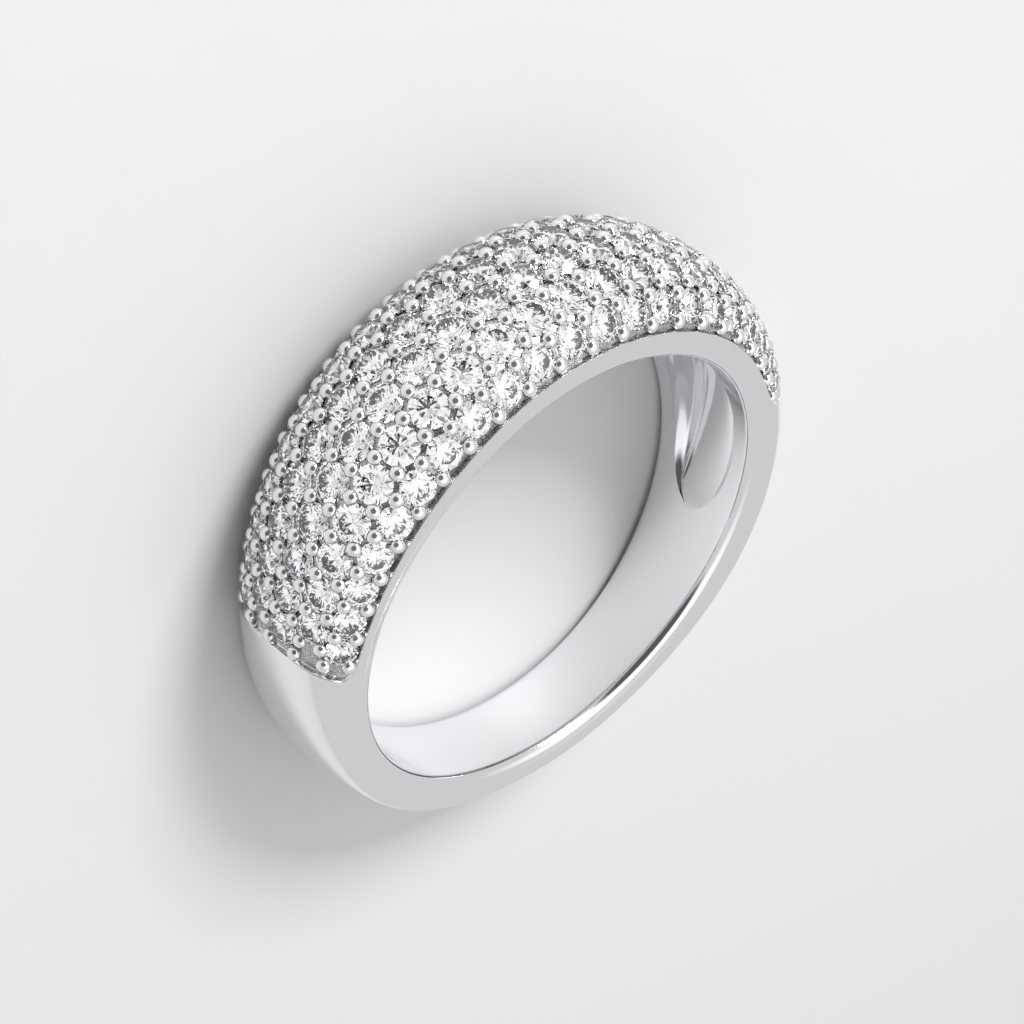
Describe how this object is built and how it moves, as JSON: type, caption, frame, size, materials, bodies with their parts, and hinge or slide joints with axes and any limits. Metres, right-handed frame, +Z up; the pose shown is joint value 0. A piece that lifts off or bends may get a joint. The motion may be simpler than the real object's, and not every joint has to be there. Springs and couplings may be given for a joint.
{
  "type": "dome ring",
  "caption": "Domed finger ring that narrows to a plain shank, its dome set with staggered rows of small round brilliants held by bead prongs, and hollowed behind.",
  "frame": {"origin": "on the surface that the ring lies on, under the centre of its bounding box", "axes": "+Z up from that surface, within 5 degrees of the finger hole's axis; -Y towards the crown of the dome; +X across the ring"},
  "size_m": [0.0218, 0.022, 0.0066],
  "materials": {
    "metal": "polished white gold",
    "stone": "faceted, clear"
  },
  "bodies": {
    "root": {"ring_body": "metal", "stones": "stone"}
  },
  "joints": []
}
